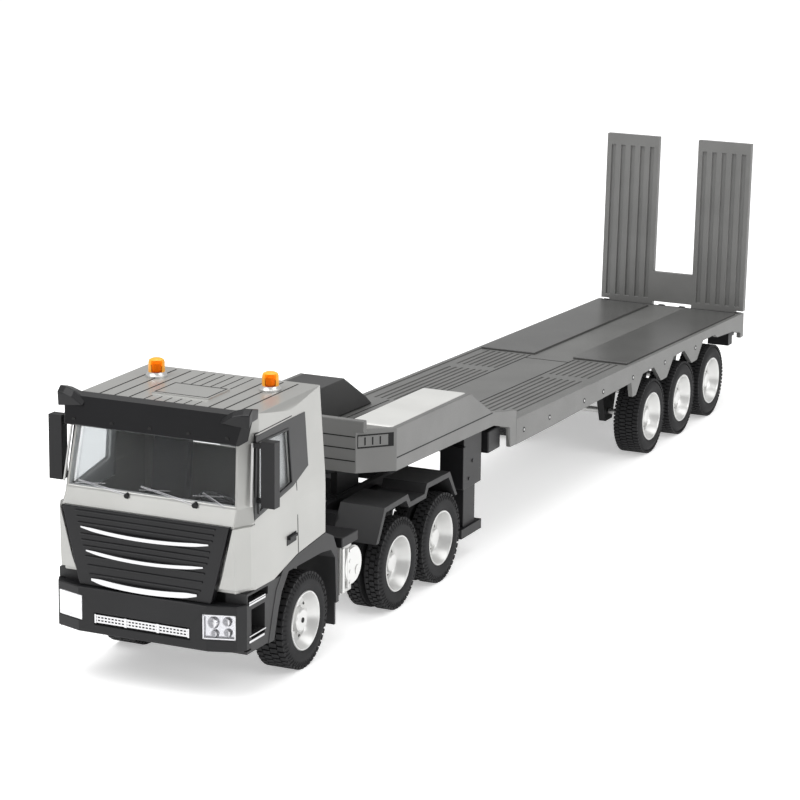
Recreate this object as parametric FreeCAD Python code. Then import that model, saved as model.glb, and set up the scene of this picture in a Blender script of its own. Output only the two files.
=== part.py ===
# Toy flatbed semi-trailer truck: three-axle tractor, low deck trailer, folding ramps.
# Millimetres. +Z up, the cab faces -Y, +X is the truck's own left side.
# While drawing, Y = 0 is the front axle; everything is centred on export.
import FreeCAD, Part
import math
import os

V = FreeCAD.Vector

# ---------------------------------------------------------------- driving dimensions
BODY_W = 114.0            # width over cab sides and trailer rails
TYRE_R = 27.0             # tractor tyre radius
TRAILER_TYRE_R = 25.7     # trailer tyre radius
RIM_R = 16.6              # rim seat radius, all wheels
FRONT_TYRE_W = 19.0
DRIVE_TYRE_W = 23.0       # twin tyre, one moulding
TRAILER_TYRE_W = 19.0
WHEELBASE = 119.3         # front axle to first drive axle
CAB_L = 96.0              # cab shell length
CAB_H = 92.5              # cab shell height
NECK_L = 190.0            # gooseneck length
DECK_L = 419.0            # flat deck length
DECK_SLOPE = 0.0334       # the deck falls towards the rear
RAMP_H = 127.0            # ramp length above its hinge
WALL = 2.0                # cab wall
SHAFT_R = 2.0             # wheel shafts
RUN_FIT = 0.05            # radial clearance of turning fits
SEAT_FIT = 0.05           # clearance between pieces that touch

# ---------------------------------------------------------------- derived positions
HW = BODY_W / 2
RAIL_X = 0.35 * HW                       # outer face of the tractor frame rails
LIFT = 2 * TYRE_R - 54.0
FRAME_TOP = 62.6 + LIFT
CAB_BASE = 60.0 + LIFT
CAB_FRONT = -72.0
CAB_BACK = CAB_FRONT + CAB_L
DRIVE_1 = WHEELBASE
DRIVE_2 = WHEELBASE + 2 * TYRE_R + 4.6
NECK_FRONT = 95.0
NECK_BACK = NECK_FRONT + NECK_L
DECK_END = NECK_BACK + DECK_L
AXLE_STEP = 2 * TRAILER_TYRE_R + 7.65
TRAILER_2 = DECK_END - 128.5
TRAILER_1 = TRAILER_2 - AXLE_STEP
TRAILER_3 = TRAILER_2 + AXLE_STEP
KING_Y = NECK_FRONT + 33.0               # kingpin
DECK_REF = 2 * TRAILER_TYRE_R + 14.4     # deck top over the middle trailer axle
KNUCKLE_X = HW - 17.0                    # steering pivots


def deck_z(y):
    """Height of the deck line (rail top) at a station along the trailer."""
    return DECK_REF - DECK_SLOPE * (y - TRAILER_2)


def neck_z(y):
    """Height of the gooseneck underside."""
    return deck_z(y) + 2.35


FIFTH_Z = neck_z(KING_Y) - 2.4           # top of the coupling plate
HINGE_Y = DECK_END + 3.2
HINGE_Z = deck_z(DECK_END) - 3.5


# ---------------------------------------------------------------- helpers
def box(x0, x1, y0, y1, z0, z1):
    return Part.makeBox(x1 - x0, y1 - y0, z1 - z0, V(x0, y0, z0))


def cyl_x(x0, x1, y, z, r):
    return Part.makeCylinder(r, x1 - x0, V(x0, y, z), V(1, 0, 0))


def cyl_y(x, y0, y1, z, r):
    return Part.makeCylinder(r, y1 - y0, V(x, y0, z), V(0, 1, 0))


def cyl_z(x, y, z0, z1, r):
    return Part.makeCylinder(r, z1 - z0, V(x, y, z0), V(0, 0, 1))


def face_of(points):
    return Part.Face(Part.makePolygon(points + [points[0]]))


def slab_x(points, x0, x1):
    """Outline in Y, Z pushed along X."""
    return face_of([V(x0, y, z) for y, z in points]).extrude(V(x1 - x0, 0, 0))


def slab_y(points, y0, y1):
    """Outline in X, Z pushed along Y."""
    return face_of([V(x, y0, z) for x, z in points]).extrude(V(0, y1 - y0, 0))


def slab_z(points, z0, z1):
    """Outline in X, Y pushed along Z."""
    return face_of([V(x, y, z0) for x, y in points]).extrude(V(0, 0, z1 - z0))


def ring(profile, y, z):
    """Outline in X, radius turned about the X direction through (y, z)."""
    face = face_of([V(x, y, z + r) for x, r in profile])
    return face.revolve(V(0, y, z), V(1, 0, 0), 360)


def fuse(shapes):
    whole = shapes[0].multiFuse(shapes[1:]) if len(shapes) > 1 else shapes[0]
    return whole.removeSplitter()


def cut(shape, tools):
    for tool in tools:
        shape = shape.cut(tool)
    return shape


def flip(shape):
    """The same piece for the other side of the truck."""
    return shape.mirror(V(0, 0, 0), V(1, 0, 0))


parts = {}


def both(name, shape):
    parts[name + "_left"] = shape
    parts[name + "_right"] = flip(shape)


# ---------------------------------------------------------------- cab
def cy(y):
    return CAB_FRONT + (y + 72.0) * CAB_L / 96.0


def cz(z):
    return CAB_BASE + (z - 60.0) * CAB_H / 92.5


CAB_STATIONS = [
    (60.0, -69.0, 0.0),
    (97.0, -71.0, 0.0),
    (105.0, -67.0, 0.3),
    (140.0, -60.5, 2.8),
    (152.5, -58.5, 3.6),
]


def cab_body(inset, low, high):
    """Cab volume shrunk by a wall, from one height to another."""
    wires = []
    for z, front, lean in CAB_STATIONS:
        level = cz(z)
        if z == 60.0:
            level = level + low
        if z == 152.5:
            level = level - high
        half = HW - lean - inset
        nose = cy(front) + inset
        back = CAB_BACK - inset
        pts = [
            V(-half, back, level), V(-half, nose + 12.0, level), V(-half + 5.5, nose, level),
            V(half - 5.5, nose, level), V(half, nose + 12.0, level), V(half, back, level),
        ]
        wires.append(Part.makePolygon(pts + [pts[0]]))
    return Part.makeLoft(wires, True, True)


ARCH_LINE = [(-90.0, 60.0), (-36.0, 60.0), (-26.0, 62.7), (-9.0, 67.0), (24.0, 70.5), (60.0, 71.5)]


def below_arch(drop):
    pts = [(y, z + LIFT - drop) for y, z in ARCH_LINE]
    return slab_x([(-90.0, -20.0)] + pts + [(60.0, -20.0)], -HW - 5, HW + 5)


def side_window(grow):
    pts = [
        (cy(-54.5) - grow, cz(101.0) - grow), (cy(-16.0) + grow, cz(108.2) - grow),
        (cy(-16.0) + grow, cz(137.4) + grow), (cy(-49.5) - grow, cz(137.4) + grow),
    ]
    return pts


def screen_outline(grow):
    low = HW - 7.0 + grow
    high = HW - 9.5 + grow
    return [(-low, cz(106.5) - grow), (low, cz(106.5) - grow), (high, cz(139.0) + grow), (-high, cz(139.0) + grow)]


screen_hole = slab_y(screen_outline(0), cy(-80), cy(-50))
shell = cab_body(0, 0, 0).cut(cab_body(WALL, -5.0, WALL))
shell = cut(shell, [below_arch(0), slab_x(side_window(0), -HW - 5, HW + 5), screen_hole])
rear_window = box(-26, 26, CAB_BACK - 4, CAB_BACK + 4, cz(112), cz(136))
hatch = box(-17, 17, cy(-35), cy(-10.5), cz(152.5) - 0.5, cz(152.5) + 1.2)
shell = fuse([cut(shell, [rear_window]), hatch])
parts["cab_shell"] = shell

# one clear moulding: liner behind the side and rear windows, plug in the screen opening
liner = cab_body(WALL + SEAT_FIT, 0, WALL + 3).cut(cab_body(WALL + 1.3, -5.0, -5.0))
keep = box(-HW, HW, cy(-90), cy(-12), cz(97.5), cz(141.5))
liner = liner.common(keep)
plug = cab_body(0.3, 0, 0).cut(cab_body(WALL + 1.0, -5.0, 0)).common(slab_y(screen_outline(-0.1), cy(-80), cy(-50)))
parts["cab_glazing"] = fuse([liner, plug])

FLOOR_Z = FRAME_TOP + SEAT_FIT
inner_half = HW - WALL - 0.1
tub = box(-inner_half, inner_half, cy(-55), CAB_BACK - WALL - 0.1, FLOOR_Z, FLOOR_Z + 2.0)
nose_floor = box(-RAIL_X - 8, RAIL_X + 8, cy(-66.5), cy(-54), FLOOR_Z, FLOOR_Z + 2.0)
seats = [tub, nose_floor]
for sx in (-1, 1):
    x0 = sx * HW * 0.46
    seats.append(box(x0 - 12, x0 + 12, cy(-22), cy(0), FLOOR_Z + 1, cz(82)))
    seats.append(slab_x([(cy(-4), cz(78)), (cy(2), cz(78)), (cy(7), cz(120)), (cy(2), cz(120))], x0 - 11, x0 + 11))
    seats.append(slab_x([(cy(2), cz(119)), (cy(6.5), cz(119)), (cy(8), cz(129)), (cy(4), cz(129))], x0 - 6, x0 + 6))
seats.append(box(-9, 9, cy(-40), cy(0), FLOOR_Z + 1, cz(76)))
parts["cab_interior"] = fuse(seats)

dash_pts = [
    (cy(-66.0), FLOOR_Z + 2.05), (cy(-67.2), cz(97.3)), (cy(-63.8), cz(103.5)), (cy(-54), cz(102)),
    (cy(-48), cz(96)), (cy(-52), cz(80)), (cy(-54), FLOOR_Z + 2.05),
]
dash = slab_x(dash_pts, -HW + 9.5, HW - 9.5)
wheel_c = V(HW * 0.46, cy(-42), cz(101))
lean = V(0, 0.62, 0.78)
column = Part.makeCylinder(1.4, 14.0, wheel_c - lean * 13.0, lean)
rim_loop = Part.makeTorus(9.0, 1.1, wheel_c, lean)
spoke = box(-9, 9, -1.2, 1.2, -0.8, 0.8)
spoke.Placement = FreeCAD.Placement(wheel_c, FreeCAD.Rotation(V(0, 0, 1), lean))
parts["dashboard"] = fuse([dash, column, rim_loop, spoke])

# ---------------------------------------------------------------- front of the cab
visor_pts = [
    (cy(-55), cz(152.6)), (cy(-59.0), cz(151.5)), (cy(-61.4), cz(141.0)), (cy(-66.5), cz(139.0)),
    (cy(-68.0), cz(140.0)), (cy(-63.5), cz(154.5)), (cy(-55), cz(155.0)),
]
visor = slab_x(visor_pts, -HW, HW)
visor = visor.cut(cab_body(-SEAT_FIT, 0, 0))
trim = slab_z([(-HW, cy(-40)), (-HW, cy(-58)), (-HW + 7, cy(-70)), (HW - 7, cy(-70)), (HW, cy(-58)), (HW, cy(-40))],
              cz(130), cz(170))
parts["sun_visor"] = visor.common(trim)

grille_pts = [
    (cy(-74.5), 54.5 + LIFT), (cy(-73.6), cz(97)), (cy(-71.0) - SEAT_FIT, cz(97)),
    (cy(-69.0) - SEAT_FIT, cz(60)), (cy(-69.0) - SEAT_FIT, 54.5 + LIFT),
]
mask = slab_y([(-39.5, 54 + LIFT), (39.5, 54 + LIFT), (HW - 6.6, cz(98)), (-HW + 6.6, cz(98))], cy(-90), cy(-60))
grille = [slab_x(grille_pts, -HW, HW).common(mask)]
for half, low, high in ((38.4, 84.0, 86.6), (34.9, 72.2, 74.2), (31.5, 56.2, 59.0)):
    bar = box(-half, half, cy(-76.4), cy(-72.5), cz(low) if low > 60 else low + LIFT,
              cz(high) if high > 60 else high + LIFT)
    grille.append(bar)
parts["grille_panel"] = fuse(grille)

BUMP_LOW = 29.5 + LIFT
BUMP_HIGH = 54.4 + LIFT
bump_plan = [
    (-HW, -62.0), (-HW, -67.0), (-HW + 3.0, -72.5), (-HW + 18.5, -77.8), (HW - 18.5, -77.8),
    (HW - 3.0, -72.5), (HW, -67.0), (HW, -62.0), (HW - 3, -62.0), (HW - 4, -68.0), (-HW + 4, -68.0), (-HW + 3, -62.0),
]
bumper = slab_z(bump_plan, BUMP_LOW, BUMP_HIGH)
lamp_plan = [(HW - 20.8, -80.0), (HW - 3.6, -76.0), (HW - 3.6, -69.5), (HW - 20.8, -73.0)]
lamp_hole = slab_z(lamp_plan, 35.9 + LIFT, 49.7 + LIFT)
lower_slot = box(-29, 29, -79, -76.3, 34.5 + LIFT, 41.0 + LIFT)
bumper = cut(bumper, [lamp_hole, flip(lamp_hole), lower_slot])
slat = box(-28.5, 28.5, -77.4, -76.2, 36.6 + LIFT, 39.2 + LIFT)
parts["front_bumper"] = fuse([bumper, slat])
lamp_plan_in = [(HW - 20.7, -78.1), (HW - 3.7, -72.8), (HW - 3.7, -69.6), (HW - 20.7, -73.1)]
both("headlamp", slab_z(lamp_plan_in, 36.0 + LIFT, 49.6 + LIFT))

# front mudguard with its two entry steps
A = TYRE_R - 27.0
guard_out = [
    (-42.7 - A, 26.5), (-37.6 - A, 43.0), (-33.8 - A, 53.7 + A), (-26.1 - A, 62.6), (-9.3, 66.8), (24.0, 70.3),
    (33.5 + A, 66.0), (38.5 + A, 56.7), (40.3 + A, 26.6),
]
guard_in = [
    (37.3 + A, 26.5), (35.6 + A, 53.0), (30.5 + A, 58.8), (19.0 + A, 60.2), (-19.7 - A, 60.2),
    (-27.6 - A, 50.9), (-31.5 - A, 42.0), (-36.3 - A, 26.5),
]
TYRE_IN = HW - FRONT_TYRE_W
guard_pts = [(y, z + LIFT) for y, z in guard_out] + [(y, z + LIFT) for y, z in guard_in]
guard = slab_x(guard_pts, TYRE_IN - 5, HW)
guard = guard.cut(box(0, HW - 2.0 - SEAT_FIT, -80, 80, FLOOR_Z - SEAT_FIT, FLOOR_Z + 30))
step_pts = [
    (-66.5, 27.0 + LIFT), (-42.0 - A, 27.0 + LIFT), (-37.0 - A, 43.0 + LIFT), (-33.2 - A, 53.7 + LIFT),
    (-28.0 - A, 59.9 + LIFT), (-66.5, 59.9 + LIFT),
]
steps = slab_x(step_pts, HW - 13, HW - 0.3)
tread_1 = box(HW - 10, HW + 1, -65.5, -46.5, 33.4 + LIFT, 50.5 + LIFT)
tread_2 = box(HW - 10, HW + 1, -65.5, -43.0, 54.2 + LIFT, 58.6 + LIFT)
steps = cut(steps, [tread_1, tread_2])
bumper_room = slab_z([(0, -90), (HW + 2, -90), (HW + 2, -61.9), (HW - 3.1, -61.9), (HW - 4.1, -67.9), (0, -67.9)],
                     BUMP_LOW - 1, BUMP_HIGH + SEAT_FIT)
steps = steps.cut(bumper_room)
tab_f = box(RAIL_X + SEAT_FIT, HW - 12, -62, -52, 52 + LIFT, 58 + LIFT)
tab_r = box(RAIL_X + SEAT_FIT, TYRE_IN, 34.5 + A, 39.0 + A, 50 + LIFT, 58 + LIFT)
flap = box(TYRE_IN, HW - 1.5, 37.8 + A, 39.4 + A, 13.5 + LIFT * 0.5, 30.0 + LIFT)
both("front_mudguard", fuse([guard, steps, tab_f, tab_r, flap]))

# mirrors on two arms
mirror = fuse([
    box(HW + 3.0, HW + 11.0, cy(-57.0), cy(-51.0), cz(105.0), cz(140.5)),
    box(HW - 2.9, HW + 4.0, cy(-55.0), cy(-52.5), cz(136.0), cz(138.5)),
    box(HW - 0.5, HW + 4.0, cy(-55.0), cy(-52.5), cz(106.5), cz(109.0)),
])
mirror = mirror.cut(cab_body(-SEAT_FIT, 0, 0))
both("mirror", mirror)

BEACON_Y = cy(1.5)
beacon = fuse([
    cyl_z(34.9, BEACON_Y, cz(152.5) + SEAT_FIT, cz(152.5) + 1.6, 6.0),
    cyl_z(34.9, BEACON_Y, cz(152.5) + 1.0, cz(152.5) + 10.2, 4.6),
])
both("beacon", beacon)

# ---------------------------------------------------------------- tractor chassis
frame = []
for sx in (-1, 1):
    x0, x1 = sorted((sx * RAIL_X, sx * (RAIL_X - 4.0)))
    frame.append(box(x0, x1, -66.0, DRIVE_2 + 30.0, FRAME_TOP - 14.0, FRAME_TOP))
    for y in (DRIVE_1, DRIVE_2):
        leg = slab_x([(y - 12, FRAME_TOP - 13), (y + 12, FRAME_TOP - 13), (y + 6, TYRE_R - 6), (y - 6, TYRE_R - 6)],
                     x0, x1)
        frame.append(leg)
inner = RAIL_X - 3.0
for y in (-63.0, -30.0, 60.0, DRIVE_1 - 22.0, (DRIVE_1 + DRIVE_2) / 2, DRIVE_2 + 24.0):
    frame.append(box(-inner, inner, y - 3.0, y + 3.0, FRAME_TOP - 12.0, FRAME_TOP - 2.0))
frame.append(box(-inner, inner, -12.0, 58.0, FRAME_TOP - 24.0, FRAME_TOP - 1.0))
frame.append(box(-inner - 14, inner + 14, -67.9, -63.0, FRAME_TOP - 24.0, FRAME_TOP - 4.0))
frame.append(box(-8, 8, -12.0, 12.0, TYRE_R + 4.0 + SEAT_FIT, FRAME_TOP - 20.0))
chassis = fuse(frame)
bores = [cyl_x(-HW, HW, y, TYRE_R, SHAFT_R + RUN_FIT) for y in (DRIVE_1, DRIVE_2)]
chassis = cut(chassis, bores)
parts["chassis_frame"] = chassis

beam = fuse([
    box(-KNUCKLE_X, KNUCKLE_X, -3.0, 3.0, TYRE_R - 3.5, TYRE_R + 4.0),
    cyl_z(KNUCKLE_X, 0, TYRE_R - 5.0, TYRE_R + 5.0, 3.4),
    cyl_z(-KNUCKLE_X, 0, TYRE_R - 5.0, TYRE_R + 5.0, 3.4),
])
pin_holes = [cyl_z(sx * KNUCKLE_X, 0, TYRE_R - 9, TYRE_R + 9, 1.6 + RUN_FIT) for sx in (-1, 1)]
parts["front_axle"] = cut(beam, pin_holes)

knuckle = fuse([
    cyl_z(KNUCKLE_X, 0, TYRE_R - 7.4, TYRE_R + 7.4, 1.6),
    box(KNUCKLE_X - 2.6, KNUCKLE_X + 5.8, -2.6, 2.6, TYRE_R + 5.1, TYRE_R + 7.4),
    box(KNUCKLE_X - 2.6, KNUCKLE_X + 5.8, -2.6, 2.6, TYRE_R - 7.4, TYRE_R - 5.1),
    box(KNUCKLE_X + 3.8, KNUCKLE_X + 5.8, -2.6, 2.6, TYRE_R - 7.4, TYRE_R + 7.4),
    cyl_x(KNUCKLE_X + 5.0, HW - 2.0, 0, TYRE_R, SHAFT_R),
])
both("knuckle", knuckle)

# side tanks and battery tray behind the front wheels
tank = fuse([
    box(RAIL_X + SEAT_FIT, HW - 1.0, 43.5 + A, 57.5 + A, 29.0 + LIFT, 56.0 + LIFT),
    box(RAIL_X + 6, HW - 1.5, 44.5 + A, 64.0 + A, 56.0 + LIFT, 61.5 + LIFT),
    cyl_x(RAIL_X + 2, HW - 0.5, 58.0 + A, 43.0 + LIFT, 11.0),
])
both("side_tank", tank)

# guards over the drive wheels
MID = (DRIVE_1 + DRIVE_2) / 2
REACH = (DRIVE_2 - DRIVE_1) / 2
drive_out = [
    (MID - REACH - 32.0 - A, 46.5), (MID - REACH - 21.0 - A, 65.5), (MID - 20.0, 66.1), (MID - 16.0, 60.6),
    (MID + 3.0, 60.6), (MID + 6.0, 66.1), (MID + REACH + 9.0 + A, 65.5), (MID + REACH + 19.6 + A, 49.0),
]
drive_in = [
    (MID + REACH + 16.9 + A, 49.0), (MID + REACH + 7.2 + A, 62.4), (MID + 8.0, 62.8), (MID + 5.0, 57.6),
    (MID - 18.0, 57.6), (MID - 22.0, 62.8), (MID - REACH - 19.2 - A, 62.4), (MID - REACH - 28.6 - A, 46.5),
]
guard_pts = [(y, z + LIFT) for y, z in drive_out + drive_in]
DRIVE_IN = HW - DRIVE_TYRE_W - 1.5
drive_guard = slab_x(guard_pts, DRIVE_IN - 2.0, HW)
wall_pts = [(y, z + LIFT) for y, z in drive_out]
wall = slab_x(wall_pts, DRIVE_IN - 3.5, DRIVE_IN - 2.0)
arms = [box(RAIL_X + SEAT_FIT, DRIVE_IN - 2.5, MID + d - 5, MID + d + 5, 52.0 + LIFT, 58.0 + LIFT) for d in (-26, 12)]
both("drive_mudguard", fuse([drive_guard, wall] + arms))

plate = cyl_z(0, KING_Y, FIFTH_Z - 3.5, FIFTH_Z, 22.0)
ramps_v = slab_z([(-14, KING_Y + 10), (14, KING_Y + 10), (9, KING_Y + 30), (-9, KING_Y + 30)], FIFTH_Z - 3.5, FIFTH_Z - 1.6)
cheeks = [box(s - 2.0, s + 2.0, KING_Y - 14, KING_Y + 14, FRAME_TOP + SEAT_FIT, FIFTH_Z - 3.0)
          for s in (-RAIL_X + 3, RAIL_X - 3)]
base = box(-RAIL_X, RAIL_X, KING_Y - 16, KING_Y + 16, FRAME_TOP + SEAT_FIT, FRAME_TOP + 2.0)
fifth = fuse([plate, ramps_v, base] + cheeks)
fifth = cut(fifth, [cyl_z(0, KING_Y, FRAME_TOP - 2, FIFTH_Z + 1, 2.6 + RUN_FIT)])
parts["fifth_wheel"] = fifth


# ---------------------------------------------------------------- wheels
def tyre(x_in, x_out, rim, radius, y, twin):
    s = 3.0
    pts = [
        (x_in, rim), (x_in, rim + 1.5), (x_in - 0.0, radius - s), (x_in + 1.6, radius - 0.8), (x_in + s, radius),
    ]
    if twin:
        mid = (x_in + x_out) / 2
        pts = pts + [(mid - 1.6, radius), (mid - 1.0, radius - 5.5), (mid + 1.0, radius - 5.5), (mid + 1.6, radius)]
    pts = pts + [
        (x_out - s, radius), (x_out - 1.6, radius - 0.8), (x_out, radius - s), (x_out, rim + 1.5), (x_out, rim),
    ]
    return ring(pts, y, radius)


def rim_ring(x_in, x_out, seat, disc, hub_in, hub_out, bore, y, z):
    r = seat - SEAT_FIT
    pts = [
        (x_in, r), (x_out, r), (x_out, r - 1.2), (disc + 1.0, r - 2.6), (disc + 1.0, 5.0), (hub_out, 4.6),
        (hub_out, bore), (hub_in, bore), (hub_in, 4.6), (disc - 1.0, 5.0), (disc - 1.0, r - 2.2), (x_in, r - 1.4),
    ]
    return ring(pts, y, z)


f_out = HW + 0.5
f_in = f_out - FRONT_TYRE_W
both("front_tyre", tyre(f_in, f_out, RIM_R, TYRE_R, 0.0, False))
both("front_rim", rim_ring(f_in + 0.3, f_out - 0.1, RIM_R, f_out - 6.5, f_out - 10.0, f_out - 1.5, SHAFT_R + RUN_FIT,
                           0.0, TYRE_R))


def wheelset(x_out, width, radius, y, disc_in):
    """Shaft with a rim fixed on each end."""
    r = rim_ring(x_out - width + 0.5, x_out - 0.6, RIM_R, x_out - disc_in, x_out - disc_in - 3.0, x_out - 2.0,
                 SHAFT_R - 0.2, y, radius)
    shaft = cyl_x(-x_out + 3.0, x_out - 3.0, y, radius, SHAFT_R)
    return fuse([shaft, r, flip(r)])


for n, y in ((1, DRIVE_1), (2, DRIVE_2)):
    x_out = HW - 0.5
    parts["drive_wheelset_%d" % n] = wheelset(x_out, DRIVE_TYRE_W, TYRE_R, y, 6.5)
    both("drive_tyre_%d" % n, tyre(x_out - DRIVE_TYRE_W, x_out, RIM_R, TYRE_R, y, True))
for n, y in ((1, TRAILER_1), (2, TRAILER_2), (3, TRAILER_3)):
    x_out = HW + 1.5
    parts["trailer_wheelset_%d" % n] = wheelset(x_out, TRAILER_TYRE_W, TRAILER_TYRE_R, y, 6.0)
    both("trailer_tyre_%d" % n, tyre(x_out - TRAILER_TYRE_W, x_out, RIM_R, TRAILER_TYRE_R, y, False))

# ---------------------------------------------------------------- trailer
plan = [
    (-HW, NECK_BACK), (-HW, NECK_FRONT + 18.0), (-HW + 17.0, NECK_FRONT), (HW - 17.0, NECK_FRONT),
    (HW, NECK_FRONT + 18.0), (HW, NECK_BACK),
]
plan_in = [
    (-HW + 3, NECK_BACK), (-HW + 3, NECK_FRONT + 19.2), (-HW + 18.0, NECK_FRONT + 3), (HW - 18.0, NECK_FRONT + 3),
    (HW - 3, NECK_FRONT + 19.2), (HW - 3, NECK_BACK),
]


def from_neck(points):
    """Outline given as distance behind the neck front, height over the neck underside line."""
    return [(NECK_FRONT + y, neck_z(NECK_FRONT + y) + z) for y, z in points]


S = NECK_L / 190.0
neck_side = from_neck([
    (0, 0), (0, 25.2), (18 * S, 25.4), (120 * S, 26.6), (152 * S, 9.4), (190 * S, 3.6), (190 * S, -18.6),
    (181 * S, -18.6), (180 * S, -6.0), (156 * S, 0.0),
])
neck_outer = slab_x(neck_side, -HW, HW).common(slab_z(plan, 0, 300))
hollow = from_neck([(-5, 3.8), (-5, 60), (200 * S, 60), (200 * S, 3.7), (190 * S, -1.0), (176 * S, 3.8)])
neck_hollow = slab_x(hollow, -HW, HW).common(slab_z(plan_in, 0, 300))
under = from_neck([(180.0 * S, -30), (180.0 * S, -7), (186.5 * S, -1.5), (200 * S, -1.5), (200 * S, -30)])
neck = neck_outer.cut(neck_hollow).cut(slab_x(under, -HW + 3, HW - 3))
cap = box(-HW + 12, HW - 12, NECK_FRONT, NECK_FRONT + 4, neck_z(NECK_FRONT) + 24, neck_z(NECK_FRONT) + 31.0)
rub = cyl_z(0, KING_Y, FIFTH_Z + 0.05, neck_z(KING_Y) + 2, 22.0)
spine = []
for sx in (-1, 1):
    x0, x1 = sorted((sx * 18.0, sx * 22.0))
    spine.append(slab_x(from_neck([(62 * S, 1), (172 * S, 1), (183 * S, -4), (190 * S, -4), (190 * S, -13),
                                   (176 * S, -13), (150 * S, -5), (62 * S, -2.5)]), x0, x1))
neck = fuse([neck, cap, rub] + spine)
notch = slab_z([(HW - 18.2, NECK_FRONT - 1), (HW - 15, NECK_FRONT + 1.0), (HW - 1.0, NECK_FRONT + 16),
                (HW + 6, NECK_FRONT + 16)], neck_z(NECK_FRONT) + 14.5, neck_z(NECK_FRONT) + 21.5)
pin_hole = cyl_z(0, KING_Y, FIFTH_Z - 2, neck_z(KING_Y) + 10, 2.6)
neck = neck.cut(pin_hole)
parts["gooseneck"] = neck
parts["kingpin"] = fuse([
    cyl_z(0, KING_Y, FIFTH_Z - 7.5, neck_z(KING_Y) + 3.9, 2.55),
    cyl_z(0, KING_Y, neck_z(KING_Y + 5) + 4.15, neck_z(KING_Y + 5) + 6.0, 5.0),
    cyl_z(0, KING_Y, neck_z(KING_Y) + 3.5, neck_z(KING_Y + 5) + 5.0, 2.55),
])

locker_side = from_neck([(20 * S, 3.9), (20 * S, 25.6), (119 * S, 26.8), (150 * S, 9.8), (158 * S, 4.0)])
locker = slab_x(locker_side, HW - 31.0, HW - 3.0 - SEAT_FIT)
locker_in = from_neck([(22 * S, 3.0), (22 * S, 23.6), (118 * S, 24.8), (148 * S, 8.0), (153 * S, 3.0)])
locker = locker.cut(slab_x(locker_in, HW - 29.0, HW - 5.0))
both("locker", locker)

# deck slab with two main beams
RAIL_T = 3.0
INNER = HW - RAIL_T - SEAT_FIT
D0 = NECK_BACK + SEAT_FIT
deck_pts = [
    (D0, deck_z(D0) - 0.6), (DECK_END - 2, deck_z(DECK_END - 2) - 0.6), (DECK_END - 2, deck_z(DECK_END - 2) - 4.6),
    (D0, deck_z(D0) - 4.6),
]
deck = [slab_x(deck_pts, -INNER, INNER)]
for sx in (-1, 1):
    x0, x1 = sorted((sx * 16.0, sx * 20.0))
    pts = [
        (D0, deck_z(D0) - 4), (DECK_END - 4, deck_z(DECK_END - 4) - 4), (DECK_END - 4, deck_z(DECK_END - 4) - 12),
        (D0, deck_z(D0) - 16.5),
    ]
    deck.append(slab_x(pts, x0, x1))
RIBS = [D0 + 8 + k * (DECK_L - 30) / 6.0 for k in range(7)]
for y in RIBS:
    deck.append(box(-INNER, INNER, y - 1.5, y + 1.5, deck_z(y) - 8.0, deck_z(y) - 4.0))
deck = fuse(deck)
grooves = []
for x in (20.0, 24.5, 29.0, 33.5, 38.0, 42.5, 47.0):
    for g0, g1 in ((NECK_BACK + 12, NECK_BACK + 0.31 * DECK_L), (NECK_BACK + 0.335 * DECK_L, TRAILER_1 - 38.0)):
        pts = [(g0, deck_z(g0) - 1.4), (g1, deck_z(g1) - 1.4), (g1, deck_z(g1) + 2), (g0, deck_z(g0) + 2)]
        for sx in (-1, 1):
            a, b = sorted((sx * (x - 0.8), sx * (x + 0.8)))
            grooves.append(slab_x(pts, a, b))
deck = deck.cut(Part.makeCompound(grooves))
parts["deck"] = deck

# side rails: tall over the load bed, toothed between the wheels
R_ARCH = TRAILER_TYRE_R + 7.0
T = TRAILER_TYRE_R
low = [(NECK_BACK + SEAT_FIT, deck_z(NECK_BACK) - 16.4)]
low = low + [(max(TRAILER_1 - 171, NECK_BACK + 27), 58.0), (TRAILER_1 - 37, 57.0)]
low = low + [(TRAILER_1 - 34, 46.5), (TRAILER_1 - 28, 46.5), (TRAILER_1 - 16, 58.6), (TRAILER_1 + 5, 58.8)]
low = low + [(TRAILER_1 + 19.5, 46.5), (TRAILER_2 - 28.5, 46.5), (TRAILER_2 - 16, 58.4), (TRAILER_2 + 5, 58.4)]
low = low + [(TRAILER_2 + 20.5, 46.5), (TRAILER_3 - 28, 46.5), (TRAILER_3 - 16, 58.0), (TRAILER_3 + 8, 57.5)]
low = low + [(TRAILER_3 + 14, 54.4), (TRAILER_3 + 48, 51.9), (DECK_END - 6, 47.8), (DECK_END - 6, 44.0)]
RISE = 2 * (TRAILER_TYRE_R - 25.7)
low = [low[0]] + [(y, z + RISE) for y, z in low[1:]]
rail_pts = low + [(DECK_END, 44.0 + RISE), (DECK_END, deck_z(DECK_END)), (NECK_BACK + SEAT_FIT, deck_z(NECK_BACK))]
rail = slab_x(rail_pts, HW - RAIL_T, HW)
dimples = [cyl_x(HW - 1.0, HW + 1, y, deck_z(y) - 9.0, 1.6)
           for y in (NECK_BACK + 12, NECK_BACK + 53, NECK_BACK + 111, NECK_BACK + 144, TRAILER_1 - 34,
                     TRAILER_1 + 26, TRAILER_2 + 27.5)]
both("side_rail", cut(rail, dimples))

# rear deck plates
P0 = TRAILER_1 - 36.0
P1 = DECK_END - 9.0
plate_pts = [(P0, deck_z(P0) - 0.5), (P1, deck_z(P1) - 0.5), (P1, deck_z(P1) + 0.9), (P0, deck_z(P0) + 0.9)]
both("deck_plate", slab_x(plate_pts, 14.0, INNER - 0.5))

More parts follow.
